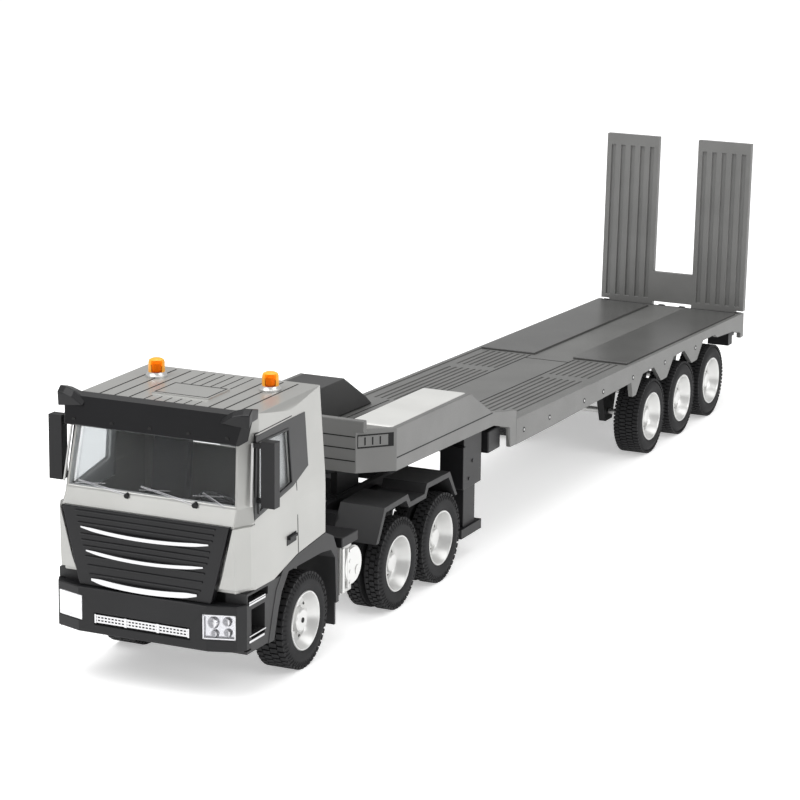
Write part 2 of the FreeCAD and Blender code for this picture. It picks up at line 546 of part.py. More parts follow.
# landing legs with a brace between them, folded up for travel
LEG_Y = NECK_FRONT + 140.0 * S
leg_top = neck_z(LEG_Y) - 1.2
legs = []
for sx in (-1, 1):
    a, b = sorted((sx * 38.5, sx * 50.0))
    legs.append(box(a, b, LEG_Y - 13, LEG_Y + 13, leg_top - 34.0, leg_top))
    a, b = sorted((sx * 40.5, sx * 48.0))
    legs.append(box(a, b, LEG_Y - 8.5, LEG_Y + 8.5, 19.0, leg_top - 32.0))
    a, b = sorted((sx * 38.5, sx * 50.0))
    legs.append(box(a, b, LEG_Y - 15, LEG_Y + 15, 14.0, 20.0))
legs.append(box(-40, 40, LEG_Y + 2, LEG_Y + 7, leg_top - 16.0, leg_top - 6.0))
pad_a = slab_x([(LEG_Y - 13, leg_top - 3), (LEG_Y + 13, leg_top - 3), (LEG_Y + 13, neck_z(LEG_Y + 13) - SEAT_FIT),
                (LEG_Y - 13, neck_z(LEG_Y - 13) - SEAT_FIT)], 38.5, 50.0)
legs = fuse(legs + [pad_a, flip(pad_a)])
parts["landing_gear"] = legs

# running gear carrier under the deck
carrier = []
for sx in (-1, 1):
    a, b = sorted((sx * 22.0, sx * 27.0))
    y0 = TRAILER_1 - 30
    y1 = TRAILER_3 + 30
    pts = [(y0, deck_z(y0) - 4.65), (y1, deck_z(y1) - 4.65), (y1, T + 14), (y0, T + 14)]
    carrier.append(slab_x(pts, a, b))
    for y in (TRAILER_1, TRAILER_2, TRAILER_3):
        pts = [(y - 13, T + 15), (y + 13, T + 15), (y + 6, T - 6), (y - 6, T - 6)]
        carrier.append(slab_x(pts, a, b))
for y in (TRAILER_1 - 27, TRAILER_1 + AXLE_STEP / 2, TRAILER_2 + AXLE_STEP / 2, TRAILER_3 + 27):
    carrier.append(box(-26, 26, y - 2.5, y + 2.5, T + 14, T + 20))
carrier = fuse(carrier)
holes = [cyl_x(-HW, HW, y, T, SHAFT_R + RUN_FIT) for y in (TRAILER_1, TRAILER_2, TRAILER_3)]
holes = holes + [box(-HW, HW, y - 1.6, y + 1.6, deck_z(y) - 8.1, deck_z(y)) for y in RIBS]
parts["axle_carrier"] = cut(carrier, holes)

# tail beam with lamp stubs and ramp lugs
Z_END = deck_z(DECK_END)
tail = [box(-INNER, INNER, DECK_END - 4 + SEAT_FIT, DECK_END, 47.0 + RISE, Z_END - 9.5),
        box(-INNER, INNER, DECK_END - 1.9, DECK_END, 47.0 + RISE, Z_END - 0.6)]
for sx in (-1, 1):
    a, b = sorted((sx * 34.0, sx * 50.0))
    tail.append(box(a, b, DECK_END - 12, DECK_END - 3.9, 38.5 + RISE, 47.5 + RISE))
    tail.append(box(a, b, DECK_END - 12, DECK_END, 44.5 + RISE, 50.5 + RISE))
LUGS = (10.0, HW - 3.0)
for x in LUGS:
    for sx in (-1, 1):
        a, b = sorted((sx * (x - 4.0), sx * x))
        lug = slab_x([(DECK_END - 1, HINGE_Z - 3.0), (HINGE_Y, HINGE_Z - 3.0), (HINGE_Y + 3, HINGE_Z),
                      (HINGE_Y, HINGE_Z + 3.0), (DECK_END - 1, HINGE_Z + 3.0)], a, b)
        tail.append(lug)
PIN_R = 1.4
tail = fuse(tail).cut(cyl_x(-HW, HW, HINGE_Y, HINGE_Z, PIN_R + 0.02))
parts["tail_beam"] = tail
parts["ramp_pin"] = cyl_x(-HW + 3.0, HW - 3.0, HINGE_Y, HINGE_Z, PIN_R)

# folding ramp: two tracks joined by a cross panel, hinged low at the tail
LEAN = math.radians(2.6)
RT = 4.6
tracks = []
for sx in (-1, 1):
    a, b = sorted((sx * 15.3, sx * (HW - 1.1)))
    track = box(a, b, -RT / 2, RT / 2, 4.0, RAMP_H)
    pockets = []
    for k in range(5):
        x = 15.3 + 5.2 + k * (HW - 1.1 - 15.3 - 10.4) / 4.0
        c, d = sorted((sx * (x - 1.6), sx * (x + 1.6)))
        pockets.append(box(c, d, -RT, -RT / 2 + 1.4, 7.0, RAMP_H - 8.0))
    tracks.append(track.cut(Part.makeCompound(pockets)))
    a, b = sorted((sx * 15.3, sx * (HW - 7.5)))
    knuckle_bar = fuse([cyl_x(a, b, 0, 0, 2.9), box(a, b, -RT / 2, RT / 2, 0, 5.0)])
    tracks.append(knuckle_bar)
tracks.append(box(-16.0, 16.0, -RT / 2, RT / 2, 5.0, 27.0))
ramp = fuse(tracks)
ramp = ramp.cut(cyl_x(-HW, HW, 0, 0, PIN_R + RUN_FIT))
ramp.rotate(V(0, 0, 0), V(1, 0, 0), -math.degrees(LEAN))
ramp.translate(V(0, HINGE_Y, HINGE_Z))
parts["ramp"] = ramp

# ---------------------------------------------------------------- export
lows = [shape.BoundBox for shape in parts.values()]
y_mid = (min(b.YMin for b in lows) + max(b.YMax for b in lows)) / 2
z_low = min(b.ZMin for b in lows)
os.makedirs("parts", exist_ok=True)
for name in parts:
    shape = parts[name]
    shape.translate(V(0, -y_mid, -z_low))
    solids = shape.Solids
    if len(solids) == 1:
        shape = solids[0]
    shape.exportStep("parts/" + name + ".step")
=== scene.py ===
# Looks for the toy flatbed semi-trailer truck. Lengths are drawn in millimetres with Y = 0 at the front axle.
import math

import bpy
from mathutils import Matrix, Vector


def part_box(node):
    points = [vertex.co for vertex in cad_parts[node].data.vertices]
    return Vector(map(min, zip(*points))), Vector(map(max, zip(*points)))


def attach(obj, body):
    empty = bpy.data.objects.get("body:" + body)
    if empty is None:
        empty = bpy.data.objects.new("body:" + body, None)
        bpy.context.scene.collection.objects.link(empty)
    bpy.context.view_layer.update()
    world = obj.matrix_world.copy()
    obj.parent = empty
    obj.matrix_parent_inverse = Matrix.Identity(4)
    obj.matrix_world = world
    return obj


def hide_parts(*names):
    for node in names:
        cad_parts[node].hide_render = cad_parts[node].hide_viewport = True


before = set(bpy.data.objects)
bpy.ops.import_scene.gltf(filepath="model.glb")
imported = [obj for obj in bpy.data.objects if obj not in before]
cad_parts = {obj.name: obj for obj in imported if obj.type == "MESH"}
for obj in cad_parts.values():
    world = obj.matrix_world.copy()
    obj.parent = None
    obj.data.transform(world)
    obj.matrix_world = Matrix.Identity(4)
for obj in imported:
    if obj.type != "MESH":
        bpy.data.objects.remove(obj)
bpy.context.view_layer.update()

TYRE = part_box("front_tyre_left")
Y0 = (TYRE[0].y + TYRE[1].y) / 2
MM = 0.001
TYRE_R = 27.0          # tractor tyre radius
TRAILER_R = 25.7       # trailer tyre radius
RIM_R = 16.6
MID_AXLE = 575.5       # middle trailer axle
AXLE_GAP = 59.05
DECK_SLOPE = 0.0334    # the deck falls this much a millimetre to the rear
DECK_TOP = 65.8        # deck height over the middle trailer axle
CAB_ROOF = 152.35
RAIL_SCREWS = (297.0, 338.0, 396.0, 429.0, 482.4, 542.4, 603.0)
AXLES = {"trailer_axle_1": MID_AXLE - AXLE_GAP, "trailer_axle_2": MID_AXLE, "trailer_axle_3": MID_AXLE + AXLE_GAP}
DRIVES = {"drive_axle_1": 119.3, "drive_axle_2": 177.9}


def deck_z(y):
    """Height of the deck's line at y."""
    return DECK_TOP - DECK_SLOPE * (y - MID_AXLE)


def neck_z(y):
    """Height of the neck's line at y."""
    return deck_z(y) + 2.35


# ------------------------------------------------------------------ materials
def material(name, color, rough=0.5, metal=0.0, vary=0.06, grain=0.0, grain_scale=900.0, coat=0.0, emit=0.0,
             shine=0.5):
    """Moulded plastic or metal: a slightly uneven colour, with a fine grain if asked for."""
    m = bpy.data.materials.new(name)
    m.use_nodes = True
    nt = m.node_tree
    b = nt.nodes["Principled BSDF"]
    coord = nt.nodes.new("ShaderNodeTexCoord")
    noise = nt.nodes.new("ShaderNodeTexNoise")
    noise.inputs["Scale"].default_value = 35.0
    noise.inputs["Detail"].default_value = 3.0
    ramp = nt.nodes.new("ShaderNodeValToRGB")
    ramp.color_ramp.elements[0].position = 0.35
    ramp.color_ramp.elements[1].position = 0.65
    ramp.color_ramp.elements[0].color = [c * (1 - vary) for c in color] + [1]
    ramp.color_ramp.elements[1].color = [min(1, c * (1 + vary)) for c in color] + [1]
    nt.links.new(coord.outputs["Object"], noise.inputs["Vector"])
    nt.links.new(noise.outputs["Fac"], ramp.inputs["Fac"])
    nt.links.new(ramp.outputs["Color"], b.inputs["Base Color"])
    b.inputs["Roughness"].default_value = rough
    b.inputs["Metallic"].default_value = metal
    b.inputs["Specular IOR Level"].default_value = shine
    b.inputs["Coat Weight"].default_value = coat
    b.inputs["Coat Roughness"].default_value = 0.15
    if emit:
        b.inputs["Emission Color"].default_value = (*color, 1)
        b.inputs["Emission Strength"].default_value = emit
    if grain:
        fine = nt.nodes.new("ShaderNodeTexNoise")
        fine.inputs["Scale"].default_value = grain_scale
        fine.inputs["Detail"].default_value = 2.0
        bump = nt.nodes.new("ShaderNodeBump")
        bump.inputs["Strength"].default_value = grain
        bump.inputs["Distance"].default_value = 0.0003
        nt.links.new(coord.outputs["Object"], fine.inputs["Vector"])
        nt.links.new(fine.outputs["Fac"], bump.inputs["Height"])
        nt.links.new(bump.outputs["Normal"], b.inputs["Normal"])
    return m


def clear_material(name, tint, rough, body, gloss):
    """Thin clear plastic: mostly see-through, with a fresnel gloss over it."""
    m = bpy.data.materials.new(name)
    m.use_nodes = True
    nt = m.node_tree
    b = nt.nodes["Principled BSDF"]
    out = nt.nodes["Material Output"]
    b.inputs["Base Color"].default_value = (*tint, 1)
    b.inputs["Roughness"].default_value = rough
    see = nt.nodes.new("ShaderNodeBsdfTransparent")
    see.inputs["Color"].default_value = (*tint, 1)
    fres = nt.nodes.new("ShaderNodeFresnel")
    fres.inputs["IOR"].default_value = 1.45
    add = nt.nodes.new("ShaderNodeMath")
    add.operation = "MULTIPLY_ADD"
    add.use_clamp = True
    add.inputs[1].default_value = gloss
    add.inputs[2].default_value = body
    mix = nt.nodes.new("ShaderNodeMixShader")
    nt.links.new(fres.outputs["Fac"], add.inputs[0])
    nt.links.new(add.outputs["Value"], mix.inputs["Fac"])
    nt.links.new(see.outputs["BSDF"], mix.inputs[1])
    nt.links.new(b.outputs["BSDF"], mix.inputs[2])
    nt.links.new(mix.outputs["Shader"], out.inputs["Surface"])
    return m


M = {
    "silver": material("silver", (0.40, 0.40, 0.385), 0.36, 0.5, 0.03, 0.12, 2500.0, 0.15),
    "black": material("black", (0.009, 0.009, 0.010), 0.45, 0.0, 0.1, 0.10, 1500.0, shine=0.3),
    "gloss_black": material("gloss_black", (0.007, 0.007, 0.008), 0.3, 0.0, 0.1, shine=0.3),
    "chassis": material("chassis", (0.014, 0.014, 0.015), 0.5, 0.0, 0.1, 0.15, 1500.0, shine=0.3),
    "guard": material("guard", (0.026, 0.026, 0.027), 0.5, 0.0, 0.1, 0.15, 1500.0, shine=0.35),
    "interior": material("interior", (0.03, 0.03, 0.032), 0.6, 0.0, 0.1, 0.1),
    "chrome": material("chrome", (0.62, 0.62, 0.63), 0.24, 1.0, 0.02),
    "bright": material("bright", (0.66, 0.66, 0.65), 0.32, 0.7, 0.02),
    "tank": material("tank", (0.5, 0.5, 0.49), 0.35, 0.5, 0.04),
    "tyre": material("tyre", (0.018, 0.018, 0.019), 0.75, 0.0, 0.15, 0.25, 1800.0, shine=0.25),
    "grey": material("grey", (0.150, 0.150, 0.146), 0.45, 0.1, 0.06, 0.3, 2200.0),
    "plate": material("plate", (0.085, 0.085, 0.083), 0.3, 0.1, 0.08, 0.12, 2200.0),
    # Lit and shaded copies of one locker lid: the light grey is a painted highlight for the glare on the near locker's
    # top, the near-black is painted shade for the far locker's inner face in shadow
    "painted_highlight_lid": material("painted_highlight_lid", (0.62, 0.62, 0.60), 0.3, 0.1, 0.04, 0.1),
    "painted_shade_lid": material("painted_shade_lid", (0.04, 0.04, 0.04), 0.5, 0.0, 0.1, 0.1),
    "line": material("line", (0.012, 0.012, 0.012), 0.6, 0.0, 0.05, shine=0.2),
    "frame": material("frame", (0.045, 0.045, 0.046), 0.45, 0.0, 0.08, shine=0.3),
    "steel": material("steel", (0.5, 0.5, 0.5), 0.3, 1.0, 0.04),
    "red": material("red", (0.45, 0.01, 0.01), 0.25, 0.0, 0.05),
    "mirror": material("mirror", (0.8, 0.82, 0.83), 0.05, 1.0, 0.01),
    "bulb": material("bulb", (0.9, 0.78, 0.4), 0.3, 0.2, 0.02),
    "clear": clear_material("clear", (0.96, 0.97, 0.975), 0.05, 0.0, 0.55),
    "amber": clear_material("amber", (1.0, 0.42, 0.02), 0.35, 0.08, 1.0),
    "lens": clear_material("lens", (0.97, 0.97, 0.98), 0.1, 0.0, 0.7),
}

# ------------------------------------------------------------------ mesh helpers (mm in, metres out)

def piece(name, body, mat, shapes, smooth=False, bevel=0.0, replaces=()):
    """One mesh made of closed shapes, riding on a body."""
    verts = []
    faces = []
    for vs, fs in shapes:
        base = len(verts)
        verts += [(x * MM, y * MM + Y0, z * MM) for x, y, z in vs]
        faces += [tuple(base + i for i in f) for f in fs]
    mesh = bpy.data.meshes.new(name)
    mesh.from_pydata(verts, [], faces)
    mesh.validate()
    mesh.materials.append(M[mat])
    ob = bpy.data.objects.new(name, mesh)
    bpy.context.scene.collection.objects.link(ob)
    dress(ob, smooth, bevel)
    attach(ob, body)
    for n in replaces:
        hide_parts(n)
    return ob


def dress(ob, smooth, bevel, weld=False):
    if weld:
        mod = ob.modifiers.new("join", "WELD")
        mod.merge_threshold = 0.000002
    if bevel:
        mod = ob.modifiers.new("soft_edges", "BEVEL")
        mod.width = bevel * MM
        mod.segments = 2
        mod.limit_method = "ANGLE"
        mod.angle_limit = math.radians(35)
    if smooth:
        for p in ob.data.polygons:
            p.use_smooth = True
        ob.data.set_sharp_from_angle(angle=math.radians(34))


def bx(x0, x1, y0, y1, z0, z1):
    vs = [(x, y, z) for x in (x0, x1) for y in (y0, y1) for z in (z0, z1)]
    fs = [(0, 1, 3, 2), (4, 6, 7, 5), (0, 4, 5, 1), (2, 3, 7, 6), (0, 2, 6, 4), (1, 5, 7, 3)]
    return vs, fs


def loft(loops):
    """Closed skin through equal loops of points, capped at both ends."""
    n = len(loops[0])
    vs = [p for loop in loops for p in loop]
    fs = []
    for k in range(len(loops) - 1):
        for i in range(n):
            j = (i + 1) % n
            fs.append((k * n + i, k * n + j, (k + 1) * n + j, (k + 1) * n + i))
    fs.append(tuple(range(n))[::-1])
    fs.append(tuple((len(loops) - 1) * n + i for i in range(n)))
    return vs, fs


def prism_x(pts, x0, x1):
    return loft([[(x0, y, z) for y, z in pts], [(x1, y, z) for y, z in pts]])


def prism_y(pts, y0, y1):
    return loft([[(x, y0, z) for x, z in pts], [(x, y1, z) for x, z in pts]])


def prism_z(pts, z0, z1):
    return loft([[(x, y, z0) for x, y in pts], [(x, y, z1) for x, y in pts]])


def turn_x(profile, y, z, seg=72):
    """Closed outline of (x, radius) turned about X through (y, z)."""
    vs = []
    fs = []
    n = len(profile)
    for k in range(seg):
        a = 2 * math.pi * k / seg
        vs += [(x, y + r * math.sin(a), z + r * math.cos(a)) for x, r in profile]
    for k in range(seg):
        m = (k + 1) % seg
        for i in range(n):
            j = (i + 1) % n
            fs.append((k * n + i, k * n + j, m * n + j, m * n + i))
    return vs, fs


def turn_z(profile, x, y, seg=40):
    """Closed outline of (radius, z) turned about Z through (x, y)."""
    vs = []
    fs = []
    n = len(profile)
    for k in range(seg):
        a = 2 * math.pi * k / seg
        vs += [(x + r * math.sin(a), y + r * math.cos(a), z) for r, z in profile]
    for k in range(seg):
        m = (k + 1) % seg
        for i in range(n):
            j = (i + 1) % n
            fs.append((k * n + i, m * n + i, m * n + j, k * n + j))
    return vs, fs


def rod(a, b, r0, r1=None, seg=16):
    """Round bar from a to b, tapering from r0 to r1."""
    a = Vector(a)
    b = Vector(b)
    r1 = r0 if r1 is None else r1
    d = (b - a).normalized()
    u = d.orthogonal().normalized()
    w = d.cross(u)
    loops = []
    for p, r in ((a, r0), (b, r1)):
        loops.append([tuple(p + u * (r * math.cos(t)) + w * (r * math.sin(t)))
                      for t in [2 * math.pi * k / seg for k in range(seg)]])
    return loft(loops)


def flipped(shape):
    vs, fs = shape
    return [(-x, y, z) for x, y, z in vs], [f[::-1] for f in fs]


def sided(shapes, side):
    """The shapes as drawn for the left side, mirrored for the right."""
    return shapes if side > 0 else [flipped(s) for s in shapes]


SIDES = (("left", 1), ("right", -1))


# ------------------------------------------------------------------ finish of the CAD pieces that stay on show
def show(node, mat, bevel=0.35):
    """Finish a CAD piece that stays on show."""
    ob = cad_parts[node]
    ob.data.materials.clear()
    ob.data.materials.append(M[mat])
    for p in ob.data.polygons:
        p.material_index = 0
    if bevel:
        dress(ob, False, bevel, True)


show("cab_shell", "silver", 1.0)
show("cab_glazing", "clear", 0)
show("cab_interior", "interior", 0.8)
show("dashboard", "interior", 0.4)
show("sun_visor", "gloss_black", 0.7)
show("front_bumper", "black", 0.8)
show("chassis_frame", "chassis", 0.5)
show("front_axle", "chassis", 0.3)
show("fifth_wheel", "black", 0.4)
show("gooseneck", "grey", 0.8)
show("deck", "grey", 0.2)
show("landing_gear", "black", 0.6)
show("ramp", "grey", 0.3)
show("tail_beam", "black", 0.3)
show("axle_carrier", "chassis", 0.4)
show("kingpin", "steel", 0.2)
show("ramp_pin", "steel", 0.1)
# painted highlight on the near locker, painted shade on the far locker
show("locker_left", "painted_highlight_lid", 1.2)
show("locker_right", "painted_shade_lid", 1.2)
for word, s in SIDES:
    show("front_mudguard_" + word, "guard", 0.5)
    show("drive_mudguard_" + word, "guard", 0.5)
    show("mirror_" + word, "black", 1.3)
    show("knuckle_" + word, "chassis", 0.2)
    show("side_tank_" + word, "tank", 0.7)
    show("side_rail_" + word, "grey", 0.3)
    show("deck_plate_" + word, "plate", 0.3)


# ------------------------------------------------------------------ wheels
def tyre_shapes(x_in, x_out, radius, y, z, blocks, twin):
    """Tyre carcass with rows of tread blocks; a twin has a groove down its middle."""
    s = 2.6
    rim = RIM_R
    pts = [
        (x_in + 0.6, rim), (x_in + 0.4, rim + 1.0), (x_in, rim + 3.0), (x_in, radius - 5.0), (x_in + 0.8, radius - s),
        (x_in + s, radius - 1.2),
    ]
    mid = (x_in + x_out) / 2
    if twin:
        pts += [(mid - 1.6, radius - 1.2), (mid - 1.0, radius - 5.5), (mid + 1.0, radius - 5.5),
                (mid + 1.6, radius - 1.2)]
    pts += [
        (x_out - s, radius - 1.2), (x_out - 0.8, radius - s), (x_out, radius - 5.0), (x_out, rim + 3.0),
        (x_out - 0.4, rim + 1.0), (x_out - 0.6, rim),
    ]
    shapes = [turn_x(pts, y, z, 80)]
    halves = [(x_in, mid - 1.6), (mid + 1.6, x_out)] if twin else [(x_in, x_out)]
    for a, b in halves:
        w = b - a
        cols = 3 if twin else 4
        for c in range(cols):
            u0 = a + w * c / cols + (0.2 if c else 0.9)
            u1 = a + w * (c + 1) / cols - (0.2 if c < cols - 1 else 0.9)
            if u1 - u0 < 0.5:
                continue
            for k in range(blocks):
                t = 2 * math.pi * (k + (0.5 if c % 2 else 0.0)) / blocks
                h = math.pi / blocks * 0.72
                loops = []
                for x in (u0, u1):
                    loop = []
                    for ang, r in ((t - h, radius - 1.6), (t + h, radius - 1.6), (t + h, radius), (t - h, radius)):
                        loop.append((x, y + r * math.sin(ang), z + r * math.cos(ang)))
                    loops.append(loop)
                shapes.append(loft(loops))
    return shapes


def shoulder_lugs(x_face, out, radius, y, z, count):
    """Little radial ribs that wrap from the tread onto the side wall."""
    shapes = []
    for k in range(count):
        t = 2 * math.pi * k / count
        h = math.pi / count * 0.5
        loops = []
        for x, r0, r1 in ((x_face - out * 1.2, radius - 3.6, radius - 0.6), (x_face, radius - 5.8, radius - 3.2)):
            loops.append([(x, y + r * math.sin(g), z + r * math.cos(g))
                          for g, r in ((t - h, r0), (t + h, r0), (t + h, r1), (t - h, r1))])
        shapes.append(loft(loops))
    return shapes


def dish(x_in, x_out, disc, y, z, lip=16.55, hub=5.2, hub_out=3.0):
    pts = [
        (x_in, lip), (x_out - 0.6, lip), (x_out, lip - 0.3), (x_out, lip - 0.9), (x_out - 0.8, lip - 1.4),
        (disc + 3.0, lip - 2.6), (disc + 1.0, lip - 4.0), (disc + 0.6, hub + 2.4), (disc + 1.2, hub + 0.8),
        (disc + hub_out, hub), (disc + hub_out + 0.6, hub - 0.8), (disc + hub_out + 0.8, 0.1), (disc - 1.6, 0.1),
        (disc - 1.6, lip - 3.0), (x_in, lip - 1.6),
    ]
    return turn_x(pts, y, z, 72)


def ring_of(count, radius, y, z, make, phase=0.0):
    shapes = []
    for k in range(count):
        t = 2 * math.pi * k / count + phase
        shapes.append(make(y + radius * math.sin(t), z + radius * math.cos(t)))
    return shapes


for word, s in SIDES:
    body = "front_wheel_" + word
    piece("front_tyre_" + word + "_look", body, "tyre",
          sided(tyre_shapes(38.5, 57.5, TYRE_R, 0, TYRE_R, 44, False)
                  + shoulder_lugs(57.4, 1.4, TYRE_R, 0, TYRE_R, 60), s),
          True, 0, ["front_tyre_" + word])
    piece("front_rim_" + word + "_look", body, "bright",
          sided([dish(39, 57.4, 50.4, 0, TYRE_R, hub=6.4, hub_out=4.2)]
                + ring_of(10, 7.6, 0, TYRE_R, lambda y, z: rod((50.5, y, z), (52.2, y, z), 0.85, 0.7, 8)), s),
          True, 0, ["front_rim_" + word])
    piece("front_rim_" + word + "_slots", body, "line",
          sided(ring_of(10, 11.3, 0, TYRE_R,
                  lambda y, z: rod((50.9, y, z), (51.3, y, z), 1.05, 1.05, 12), 0.3)
                + ring_of(1, 0.0, 0, TYRE_R,
                        lambda y, z: rod((55.25, y, z), (55.7, y, z), 1.6, 1.4, 16)), s), True)
for axle, y in DRIVES.items():
    n = axle[-1]
    shafts = [rod((-50, y, TYRE_R), (50, y, TYRE_R), 2.0)]
    rims = []
    holes = []
    for word, s in SIDES:
        piece("drive_tyre_%s_%s_look" % (n, word), axle, "tyre",
              sided(tyre_shapes(33.5, 56.5, TYRE_R, y, TYRE_R, 44, True)
                      + shoulder_lugs(56.4, 1.4, TYRE_R, y, TYRE_R, 60), s),
              True, 0, ["drive_tyre_%s_%s" % (n, word)])
        rims += sided([dish(34, 56.0, 46.5, y, TYRE_R, hub=5.4, hub_out=5.2)]
                      + ring_of(8, 7.4, y, TYRE_R,
                              lambda a, b: rod((46.9, a, b), (48.4, a, b), 0.7, 0.6, 8)), s)
        holes += sided(ring_of(8, 10.6, y, TYRE_R,
                lambda a, b: rod((46.9, a, b), (47.3, a, b), 1.35, 1.35, 14), 0.39), s)
    piece("drive_wheelset_%s_look" % n, axle, "bright", rims + shafts, True, 0,
            ["drive_wheelset_" + n])
    piece("drive_wheelset_%s_holes" % n, axle, "line", holes, True)
for axle, y in AXLES.items():
    n = axle[-1]
    rims = [rod((-50, y, TRAILER_R), (50, y, TRAILER_R), 2.0)]
    holes = []
    for word, s in SIDES:
        piece("trailer_tyre_%s_%s_look" % (n, word), axle, "tyre",
              sided(tyre_shapes(39.5, 58.5, TRAILER_R, y, TRAILER_R, 60, False), s), True, 0,
                      ["trailer_tyre_%s_%s" % (n, word)])
        rims += sided([dish(40, 58.2, 50.5, y, TRAILER_R, hub=5.2, hub_out=3.6)]
                      + ring_of(8, 7.2, y, TRAILER_R,
                              lambda a, b: rod((50.9, a, b), (52.2, a, b), 0.7, 0.6, 8)), s)
        holes += sided(ring_of(8, 10.4, y, TRAILER_R,
                lambda a, b: rod((50.9, a, b), (51.3, a, b), 1.2, 1.2, 14), 0.39), s)
    piece("trailer_wheelset_%s_look" % n, axle, "bright", rims, True, 0,
            ["trailer_wheelset_" + n])
    piece("trailer_wheelset_%s_holes" % n, axle, "line", holes, True)


# ------------------------------------------------------------------ cab front
def grille_y(z):
    return -74.5 + (z - 54.5) * 0.9 / 42.5


def grille_half(z):
    return 39.5 + (z - 54.0) * 10.9 / 44.0


loops = []
for z in (54.5, 97.0):
    h = grille_half(z)
    back = -69.1 if z < 60 else -71.1
    loops.append([(-h, back, z), (-h, grille_y(z), z), (h, grille_y(z), z), (h, back, z)])
grille = [loft(loops)]
for z0, z1, bow in ((88.5, 95.0, 2.0), (76.0, 82.5, 2.0), (61.0, 70.5, 2.0)):
    for k in range(3):
        z = z0 + (z1 - z0) * k / 2.0
        h = grille_half(z) - 7.5
        grille.append(bx(-h, h, grille_y(z) - 0.7, grille_y(z), z - 0.5, z + 0.5))
piece("grille_panel_look", "tractor", "gloss_black", grille, False, 0.5, ["grille_panel"])


def swept_strip(half, z_end, sag, tall, y_front, tip):
    """Bright strip across the grille, lower in the middle, with tapered ends."""
    n = 24
    loops = []
    for i in range(n + 1):
        x = -half + 2 * half * i / n
        u = abs(x) / half
        z = z_end - sag * (1 - u * u)
        t = tall / 2 * (1.0 if u < 0.8 else max(0.35, 1 - (u - 0.8) * 3.0))
        y = y_front + tip * u * u
        loops.append([(x, y, z - t), (x, y, z + t), (x, y + 2.2, z + t), (x, y + 2.2, z - t)])
    return loft(loops)


piece("grille_strips", "tractor", "chrome",
      [swept_strip(38.4, 86.4, 1.8, 1.9, -77.0, 2.4), swept_strip(35.2, 73.8, 1.8, 1.8, -77.0, 2.2),
       swept_strip(31.8, 58.4, 1.6, 3.0, -77.4, 2.0)], True)
ribs = []
for k in range(27):
    x = -27 + 54 * k / 26.0
    ribs.append(bx(x - 0.35, x + 0.35, -77.75, -76.6, 36.4 - 0.6 * (1 - abs(x) / 27), 39.2))
slats = [bx(-28, 28, -77.7, -76.6, z, z + 0.9) for z in (35.8, 37.5, 39.2)]
slats += [bx(a, b, -77.95, -76.6, 35.5, 40.4) for a, b in ((-10.5, -9.0), (9.0, 10.5), (-28.6, -27.6), (27.6, 28.6))]
piece("bumper_slats", "tractor", "chrome", slats + ribs, False, 0)



def at(x):
    """Y of the lamp's slanted face at a distance from the middle."""
    return -78.0 + (x - 36.3) * 5.3 / 17.0


for word, s in SIDES:
    # lamp: bright bucket, four round lights, clear cover
    back = [prism_z([(36.4, at(36.4) + 3.4), (53.2, at(53.2) + 3.4), (53.2, at(53.2) + 2.4), (36.4, at(36.4) + 2.4)],
                    36.1, 49.5)]
    rimx = []
    for x0, x1, z0, z1 in ((36.4, 53.2, 36.1, 36.8), (36.4, 53.2, 48.8, 49.5), (36.4, 37.1, 36.1, 49.5),
                           (52.5, 53.2, 36.1, 49.5)):
        rimx.append(prism_z([(x0, at(x0) + 2.6), (x1, at(x1) + 2.6), (x1, at(x1) + 0.4), (x0, at(x0) + 0.4)], z0, z1))
    cups = []
    for x, z, r in ((41.0, 44.8, 3.4), (48.2, 45.6, 2.7), (42.0, 39.0, 2.2), (48.6, 39.6, 2.4)):
        for a, b, h0, h1 in ((r, r * 0.82, 2.6, 1.0), (r * 0.72, r * 0.3, 2.5, 0.8)):
            cups.append(rod((x, at(x) + h0, z), (x - 0.2, at(x) + h1, z), a, b, 20))
    piece("headlamp_%s_bucket" % word, "tractor", "chrome", sided(back + rimx + cups, s), True, 0,
          ["headlamp_" + word])
    cover = prism_z([(36.5, at(36.5) + 0.55), (53.1, at(53.1) + 0.55), (53.1, at(53.1)), (36.5, at(36.5))], 36.2, 49.4)
    piece("headlamp_%s_cover" % word, "tractor", "lens", sided([cover], s))
    # slot in the silver corner panel
    slot_loops = []
    for z, x in ((64.0, 45.2), (80.0, 47.8), (95.5, 50.2)):
        y = -71.3 if z > 90 else -70.2 - (z - 64) * 0.04
        slot_loops.append([(x - 0.8, y - 0.5, z), (x + 0.8, y - 0.4, z), (x + 0.8, y + 1.0, z), (x - 0.8, y + 1.0, z)])
    piece("corner_slot_" + word, "tractor", "line", sided([loft(slot_loops)], s))
    corner = []
    for z, x0, x1, y0, y1 in ((62.6, 43.0, 57.3, -72.2, -58.0), (70.0, 45.4, 57.4, -72.6, -57.6),
                              (96.0, 51.8, 57.3, -73.2, -58.6)):
        corner.append([(x0, y0 + 2.0, z), (x0, y0, z), (x1 - 5.0 if x1 - 5.0 > x0 else x0 + 0.6, y0 + 0.6, z),
                       (x1, y1 - 5.0, z), (x1, y1, z), (x1 - 1.2, y1, z)])
    piece("corner_panel_" + word, "tractor", "silver", sided([loft(corner)], s), False, 0.4)

# visor: raised corner horns and screws
screws = []
for x in (-46, -23, 0, 23, 46):
    screws.append(rod((x, -67.55, 142.4), (x, -66.7, 142.7), 1.15, 1.15, 14))
piece("visor_screws", "tractor", "line", screws, True)
horns = []
for s in (1, -1):
    horn = []
    for y, z in ((-66.2, 150.0), (-63.0, 153.0), (-56.0, 153.5)):
        up = 5.6 if y < -60 else 3.4
        horn.append([(41.0, y, z), (57.2, y + 1.5, z - 2.0), (57.6, y + 1.5, z + up), (53.5, y + 0.8, z + up - 0.2),
                     (48.0, y, z + up - 1.6)])
    horns += sided([loft(horn)], s)
piece("visor_horns", "tractor", "gloss_black", horns, False, 0.5)

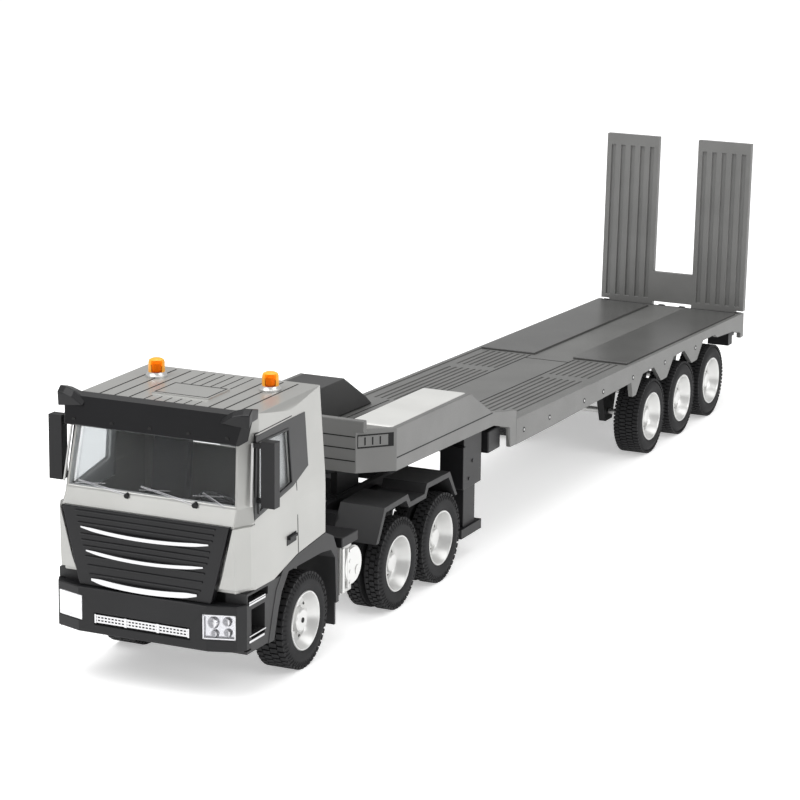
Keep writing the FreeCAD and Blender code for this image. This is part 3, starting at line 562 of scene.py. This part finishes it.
# wipers lie on the screen
wipe = []
for x0, z0, x1, z1 in ((-14.0, 105.2, -44.0, 109.5), (27.0, 105.0, -6.0, 110.5), (44.0, 105.6, 31.0, 111.5)):
    y0 = -67.6 + (z0 - 105.0) * 0.186
    y1 = -67.6 + (z1 - 105.0) * 0.186
    wipe += [rod((x0, y0, z0), (x1, y1, z1), 0.7, 0.45, 8)]
    mx, mz = (x0 * 0.25 + x1 * 0.75), (z0 * 0.25 + z1 * 0.75)
    wipe += [rod((mx - 9, y1 - 0.2, mz - 0.6), (mx + 9, y1 - 0.2, mz + 1.2), 0.4, 0.4, 6)]
piece("wipers", "tractor", "lens", wipe, True)
feet = [rod((27.0, -68.4, 104.4), (27.0, -66.2, 105.2), 1.8, 1.4, 14),
        rod((-14.0, -68.4, 104.4), (-14.0, -66.2, 105.2), 1.5, 1.2, 14)]
piece("wiper_feet", "tractor", "black", feet, True)


# ------------------------------------------------------------------ cab sides and roof
def wall_x(z):
    """Half width of the cab at a height."""
    for z0, x0, z1, x1 in ((55, 57.0, 97, 57.0), (97, 57.0, 105, 56.7), (105, 56.7, 140, 54.2),
                           (140, 54.2, 152.5, 53.4)):
        if z <= z1:
            return x0 + (x1 - x0) * (z - z0) / (z1 - z0)
    return 53.4


def side_patch(quads, proud, deep=0.6):
    """Patches of (y, z) corners laid on the cab's side wall."""
    shapes = []
    for quad in quads:
        loops = [[(wall_x(z) - deep, y, z) for y, z in quad], [(wall_x(z) + proud, y, z) for y, z in quad]]
        shapes.append(loft(loops))
    return shapes


def side_line(pts, w, proud):
    """Thin line of width w through (y, z) points on the cab's side wall."""
    quads = []
    for (y0, z0), (y1, z1) in zip(pts, pts[1:]):
        d = math.hypot(y1 - y0, z1 - z0)
        ny, nz = -(z1 - z0) / d * w / 2, (y1 - y0) / d * w / 2
        quads.append([(y0 - ny, z0 - nz), (y1 - ny, z1 - nz), (y1 + ny, z1 + nz), (y0 + ny, z0 + nz)])
    return side_patch(quads, proud)


OUT = [(-58.5, 98.2), (-14.5, 105.9), (4.0, 113.0), (4.0, 142.2), (-16.0, 142.0), (-51.5, 141.3)]
INN = [(-54.5, 101.0), (-16.0, 108.2), (-16.0, 113.0), (-16.0, 137.4), (-16.0, 137.4), (-49.5, 137.4)]
for word, s in SIDES:
    quads = [
        [OUT[0], OUT[1], INN[1], INN[0]],
        [OUT[1], OUT[2], (4.0, 128.0), (-16.0, 128.0), INN[1]],
        [(-16.0, 128.0), (4.0, 128.0), OUT[3], OUT[4], INN[3]], [INN[5], INN[3], OUT[4], OUT[5]],
        [OUT[0], INN[0], INN[5], OUT[5]],
    ]
    piece("window_frame_" + word, "tractor", "frame", sided(side_patch(quads, 0.35), s))
    edge = side_line([(-54.5, 101.0), (-16.0, 108.2), (-16.0, 137.4), (-49.5, 137.4), (-54.5, 101.0)], 1.1, 0.8)
    piece("window_seal_" + word, "tractor", "gloss_black", sided(edge, s))
    seams = side_line([(-8.5, 67.5), (-9.2, 85.0), (-10.0, 105.0), (-10.6, 142.0)], 0.7, 0.06)
    seams += side_line([(-58.0, 97.5), (-52.0, 142.5), (-10.6, 143.2)], 0.5, 0.05)
    seams += side_line([(-58.3, 63.0), (-58.6, 96.5)], 0.6, 0.06)
    piece("door_seams_" + word, "tractor", "line", sided(seams, s))
    handle = side_patch([[(-22.0, 74.6), (-11.0, 75.2), (-11.0, 80.6), (-22.0, 80.0)]], 0.3)
    handle += side_patch([[(-20.8, 77.6), (-12.2, 78.2), (-12.2, 80.0), (-20.8, 79.4)]], 1.7)
    piece("door_handle_" + word, "tractor", "black", sided(handle, s), False, 0.3)
    pillar = side_line([(-60.8, 106.0), (-55.2, 138.5)], 1.0, 0.3)
    piece("pillar_edge_" + word, "tractor", "bright", sided(pillar, s))
    treads = [bx(49.0, 57.5, -65.0, -47.0, 54.7, 55.5), bx(49.0, 57.5, -64.6, -46.5, 36.1, 36.9),
              bx(56.6, 57.4, -64.8, -46.8, 53.2, 54.4), bx(56.6, 57.4, -64.6, -48.0, 32.8, 34.2)]
    piece("step_treads_" + word, "tractor", "chrome", sided(treads, s), False, 0.15)
    face = [bx(60.8, 67.2, -51.05, -50.75, 107.5, 138.0)]
    piece("mirror_glass_" + word, "tractor", "mirror", sided(face, s), False, 0)

roof = []
for x in (-42, -33, -24, 24, 33, 42):
    roof.append(bx(x - 0.45, x + 0.45, -50, 20, CAB_ROOF, 152.58))
for x in (-15 + 6 * k for k in range(6)):
    roof.append(bx(x - 0.35, x + 0.35, -55, -38, CAB_ROOF, 152.56))
    roof.append(bx(x - 0.35, x + 0.35, -7, 20, CAB_ROOF, 152.56))
for x0, x1, y0, y1 in ((-16, 16, -34.2, -33.6), (-16, 16, -12.0, -11.4), (-16, -15.4, -34.2, -11.4),
                       (15.4, 16, -34.2, -11.4)):
    roof.append(bx(x0, x1, y0, y1, 153.3, 153.82))
piece("roof_lines", "tractor", "line", roof)
for word, s in SIDES:
    base = turn_z([(0.1, 152.55), (6.0, 152.55), (6.0, 153.4), (5.2, 154.2), (4.9, 155.2), (0.1, 155.2)], 34.9 * s, 1.5)
    piece("beacon_%s_base" % word, "tractor", "bright", [base], True, 0, ["beacon_" + word])
    dome = [(0.1, 155.2), (4.5, 155.2), (4.6, 156.0), (4.5, 160.4), (4.0, 161.8), (2.6, 162.5), (0.1, 162.7)]
    piece("beacon_%s_dome" % word, "tractor", "amber", [turn_z(dome, 34.9 * s, 1.5)], True)
    lamp = turn_z([(0.1, 155.3), (2.4, 155.3), (2.4, 159.6), (1.2, 160.6), (0.1, 160.6)], 34.9 * s, 1.5, 16)
    piece("beacon_%s_lamp" % word, "tractor", "bulb", [lamp], True)

# ------------------------------------------------------------------ tractor details
bits = []
for s in (1, -1):
    group = []
    for y in DRIVES.values():
        group.append(rod((22, y, 27), (30, y, 27), 5.5, 4.0, 20))
        group.append(prism_x([(y - 15, 45), (y + 15, 45), (y + 9, 41), (y - 9, 41)], 20.5, 25.5))
    group.append(bx(20.2, 29, 92, 99, 50, 60))
    bits += sided(group, s)
for y in DRIVES.values():
    bits.append(rod((-6, y, 27), (6, y, 27), 8.2, 8.2, 28))
    bits.append(rod((0, y - 9, 27), (0, y + 9, 27), 4.4, 4.4, 20))
piece("axle_housings", "tractor", "chassis", bits, True)
for word, s in SIDES:
    tank = [rod((30, 58.0, 43.0), (57.2, 58.0, 43.0), 10.2, 10.2, 40),
            rod((56.5, 63.0, 39.0), (57.6, 63.0, 39.0), 2.8, 2.8, 20)]
    tank += [bx(56.2, 57.2, 44.6, 47.2, 29.8, 55.4), bx(56.2, 57.3, 50.6, 52.0, 31, 54)]
    tank += [rod((56.4, 54.0, z), (57.5, 54.0, z), 1.1, 1.1, 12) for z in (34, 40, 46, 52)]
    piece("tank_detail_" + word, "tractor", "bright", sided(tank, s), True)
    cap = [bx(24, 57, 44.2, 64.2, 55.9, 61.8)]
    piece("tank_tray_" + word, "tractor", "black", sided(cap, s), False, 0.6)

# ------------------------------------------------------------------ trailer details
lines = []
for s in (1, -1):
    lines += sided([loft([[(57.02 + d, 113.5, 90.9), (57.02 + d, 113.5, 91.7), (57.02 + d, 248.0, 87.9),
                           (57.02 + d, 248.0, 87.1)] for d in (-0.6, 0.0)])], s)
for z in (91.2, 98.3, 105.4):
    lines.append(bx(-39.6, 39.6, 94.93, 95.6, z - 0.35, z + 0.35))
for x in range(-22, 23, 5):
    y0, y1 = 101.0, 268.0
    lines.append(loft([[(x - 0.45, y, neck_z(y) + 3.7), (x + 0.45, y, neck_z(y) + 3.7), (x + 0.45, y, neck_z(y) + 3.9),
                        (x - 0.45, y, neck_z(y) + 3.9)] for y in (y0, y1)]))
piece("neck_lines", "trailer", "line", lines)


def chamfer_box(u0, u1, z0, z1, d0, d1):
    """Box lying on the slanted corner of the gooseneck: u runs along it, d stands out of it."""
    a = Vector((40.0, 95.0))
    b = Vector((57.0, 113.0))
    t = (b - a).normalized()
    n = Vector((t.y, -t.x))
    pts = [a + t * u0 + n * d0, a + t * u1 + n * d0, a + t * u1 + n * d1, a + t * u0 + n * d1]
    return prism_z([(p.x, p.y) for p in pts], z0, z1)


for word, s in SIDES:
    piece("badge_recess_" + word, "trailer", "line",
          sided([chamfer_box(1.0, 23.0, 98.6, 106.6, -1, 0.12)], s))
    piece("badge_plate_" + word, "trailer", "grey",
          sided([chamfer_box(1.4, 19.5, 99.6, 105.8, -0.5, 0.35)], s))
    chev = []
    for k in range(3):
        u = 4.5 + 4.6 * k
        for z0, z1 in ((102.7, 105.0), (100.4, 102.7)):
            chev.append(chamfer_box(u + 0.6, u + 1.4, z0, z1, 0.3, 0.5))
    piece("badge_bars_" + word, "trailer", "line", sided(chev, s))
    dimples = []
    heads = []
    for y in RAIL_SCREWS:
        z = deck_z(y) - 9.0
        dimples.append(rod((56.1, y, z), (57.12, y, z), 1.7, 1.7, 18))
        heads.append(rod((56.9, y, z), (57.25, y, z), 1.0, 0.8, 14))
    piece("rail_dimples_" + word, "trailer", "line", sided(dimples, s), True)
    piece("rail_screws_" + word, "trailer", "steel", sided(heads, s), True)
    lamps = [bx(35.5, 48.5, 703.9, 704.6, 45.2, 50.0)]
    piece("tail_lamp_" + word, "trailer", "red", sided(lamps, s), False, 0.3)
    leg = [rod((49.9, 235, 60), (50.5, 235, 60), 1.2, 1.2, 14), rod((49.9, 230, 50), (50.5, 230, 50), 1.2, 1.2, 14)]
    leg += [bx(36.0, 51.5, 218, 222.0, 46, 72)]
    piece("leg_detail_" + word, "trailer", "black", sided(leg, s), False, 0.3)

panel = []
for x in (-16.0, 16.0):
    panel.append(loft([[(x - 0.5, y, deck_z(y) - 0.8), (x + 0.5, y, deck_z(y) - 0.8), (x + 0.5, y, deck_z(y) - 0.52),
                        (x - 0.5, y, deck_z(y) - 0.52)] for y in (289.0, 478.0)]))
cross_y = 468.0
panel.append(bx(-16, 16, cross_y - 0.5, cross_y + 0.5, deck_z(cross_y) - 0.9, deck_z(cross_y) - 0.52))
piece("deck_lines", "trailer", "line", panel)
spine = [bx(-30, 30, 252, 268, 62, 76)]
for s in (1, -1):
    spine += sided([bx(30, 52, 254, 272, 60, 74)], s)
piece("neck_step_box", "trailer", "black", spine, False, 0.8)

# ------------------------------------------------------------------ floor, lights, camera
floor_mesh = bpy.data.meshes.new("floor")
R = 6.0
floor_mesh.from_pydata([(-R, -R, 0), (R, -R, 0), (R, R, 0), (-R, R, 0)], [], [(0, 1, 2, 3)])
floor = bpy.data.objects.new("floor", floor_mesh)
bpy.context.scene.collection.objects.link(floor)
floor_mat = material("floor_white", (0.93, 0.93, 0.93), 0.75, 0.0, 0.003, emit=0.46)
floor_mesh.materials.append(floor_mat)

scene = bpy.context.scene
scene.view_settings.view_transform = "Standard"
world = bpy.data.worlds.new("studio")
scene.world = world
world.use_nodes = True
nt = world.node_tree
nt.nodes.clear()
out = nt.nodes.new("ShaderNodeOutputWorld")
bright = nt.nodes.new("ShaderNodeBackground")
bright.inputs["Color"].default_value = (1, 1, 1, 1)
bright.inputs["Strength"].default_value = 1.0
soft = nt.nodes.new("ShaderNodeBackground")
soft.inputs["Color"].default_value = (1, 1, 1, 1)
soft.inputs["Strength"].default_value = 0.50
mix = nt.nodes.new("ShaderNodeMixShader")
ray = nt.nodes.new("ShaderNodeLightPath")
nt.links.new(ray.outputs["Is Camera Ray"], mix.inputs["Fac"])
nt.links.new(soft.outputs["Background"], mix.inputs[1])
nt.links.new(bright.outputs["Background"], mix.inputs[2])
nt.links.new(mix.outputs["Shader"], out.inputs["Surface"])


def area(name, where, aim, size, power):
    data = bpy.data.lights.new(name, "AREA")
    data.shape = "SQUARE"
    data.size = size
    data.energy = power
    ob = bpy.data.objects.new(name, data)
    scene.collection.objects.link(ob)
    ob.location = where
    ob.rotation_euler = (Vector(aim) - Vector(where)).to_track_quat("-Z", "Y").to_euler()
    return ob


area("key", (-0.9, -1.6, 2.0), (0, 0, 0.05), 1.6, 34.0)
area("fill", (1.9, -0.6, 1.3), (0, 0, 0.05), 1.4, 16.0)
area("top", (0.1, 0.3, 2.3), (0, 0.1, 0), 2.2, 26.0)

right = Vector((0.903, 0.4296, 0.0091))
up = Vector((-0.1108, 0.2123, 0.9709))
forward = Vector((-0.4152, 0.8777, -0.2393))
cam_data = bpy.data.cameras.new("camera")
cam_data.lens = 143.58
cam_data.sensor_width = 36.0
cam_data.clip_end = 50.0
cam = bpy.data.objects.new("camera", cam_data)
scene.collection.objects.link(cam)
rot = Matrix((right, up, -forward)).transposed().to_4x4()
cam.matrix_world = Matrix.Translation(Vector((0.8064, -1.4673 + Y0, 0.5562))) @ rot
scene.camera = cam
